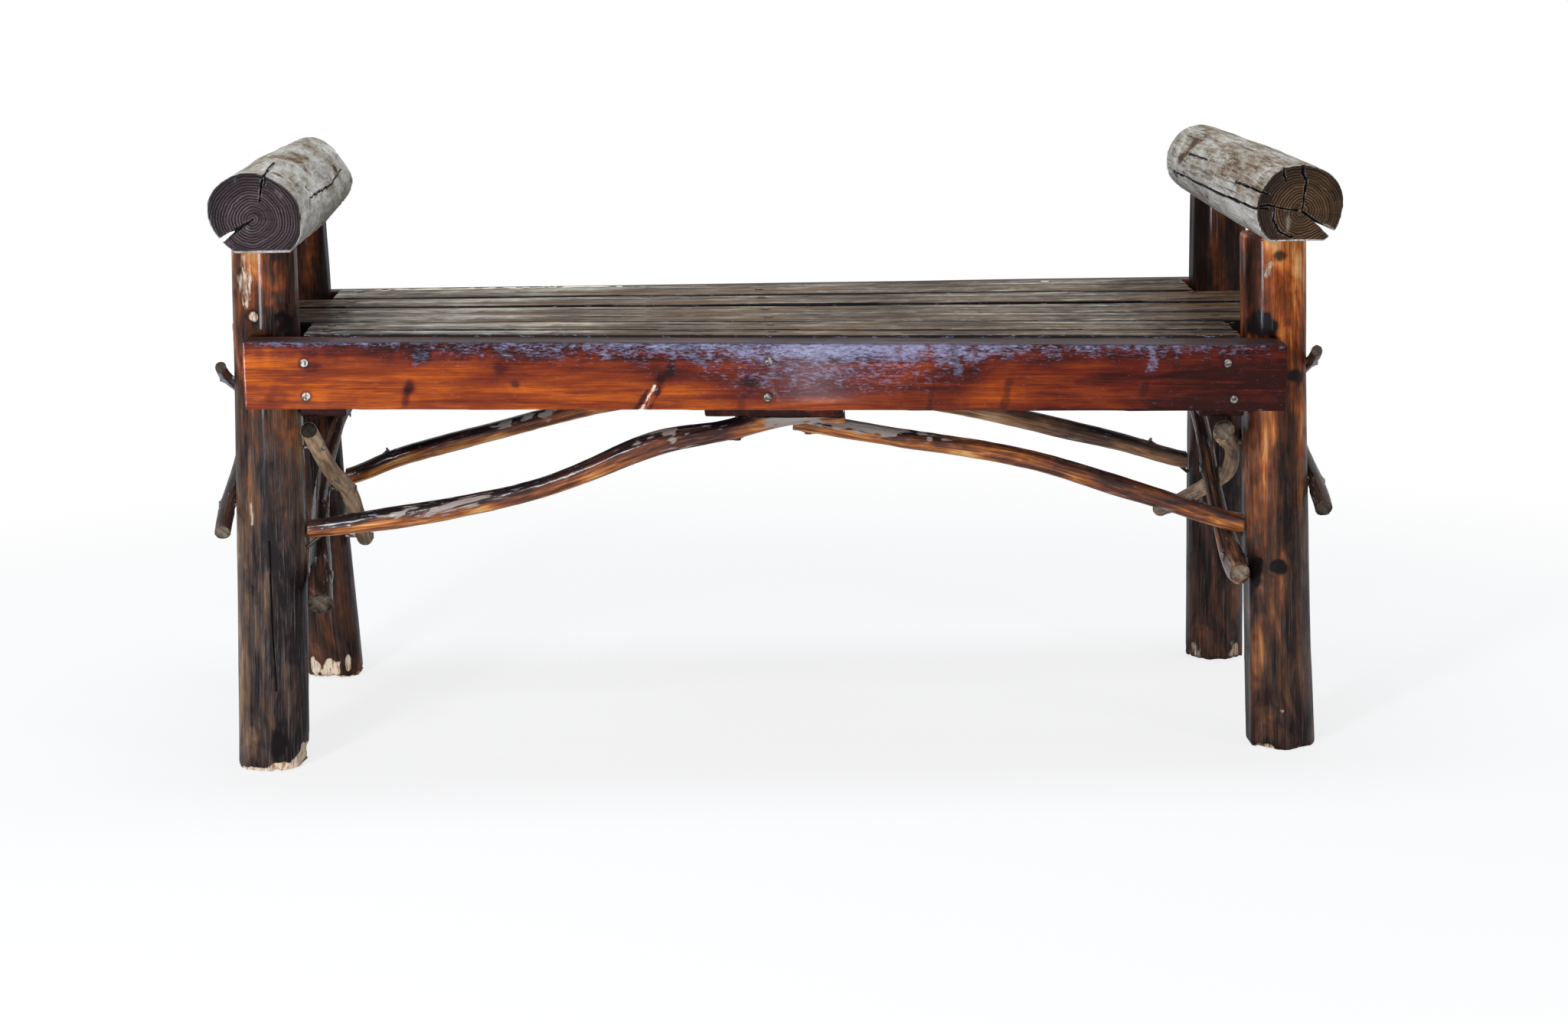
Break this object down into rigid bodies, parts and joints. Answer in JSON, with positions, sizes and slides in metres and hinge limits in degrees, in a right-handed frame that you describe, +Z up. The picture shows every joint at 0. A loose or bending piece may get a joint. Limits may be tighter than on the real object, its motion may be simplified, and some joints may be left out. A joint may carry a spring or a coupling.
{
  "type": "rustic log bench",
  "caption": "Backless slatted bench on natural round poles, with a log lying along each end as an arm rest, arched branches under the seat and crossed poles bracing the ends",
  "frame": {"origin": "middle of the bench's footprint, on the floor under the feet", "axes": "+X runs along the seat, to the right of someone who stands in front of the bench, +Y runs from the front to the back, +Z is up"},
  "size_m": [1.1652, 0.49, 0.6375],
  "materials": {
    "varnished_pole": "glossy varnish over mottled orange-brown and dark purple-brown round wood",
    "weathered_log": "bare grey weathered log with dark end grain and drying checks",
    "varnished_board": "glossy orange-red varnish, worn and knotty",
    "weathered_board": "worn varnish, grey-brown and rough along the edges",
    "peeled_branch": "peeled branches, part glossy varnish and part bare tan wood",
    "nail_steel": "dull zinc-coated round wire nails"
  },
  "bodies": {
    "root": {"front_left_leg": "varnished_pole", "front_right_leg": "varnished_pole", "back_left_leg": "varnished_pole", "back_right_leg": "varnished_pole", "left_arm_log": "weathered_log", "right_arm_log": "weathered_log", "front_apron": "varnished_board", "rear_apron": "varnished_board", "left_end_bearer": "varnished_board", "centre_bearer": "varnished_board", "right_end_bearer": "varnished_board", "seat_slat_1": "weathered_board", "seat_slat_2": "weathered_board", "seat_slat_3": "weathered_board", "seat_slat_4": "weathered_board", "seat_slat_5": "weathered_board", "seat_slat_6": "weathered_board", "front_left_arch": "peeled_branch", "front_right_arch": "peeled_branch", "back_left_arch": "peeled_branch", "back_right_arch": "peeled_branch", "outer_left_fall": "peeled_branch", "outer_left_climb": "peeled_branch", "outer_right_fall": "peeled_branch", "outer_right_climb": "peeled_branch", "inner_left_fall": "peeled_branch", "inner_left_climb": "peeled_branch", "inner_right_fall": "peeled_branch", "inner_right_climb": "peeled_branch", "apron_nails": "nail_steel", "slat_nails": "nail_steel", "bearer_nails": "nail_steel", "arch_nails": "nail_steel", "brace_nails": "nail_steel"}
  },
  "joints": []
}
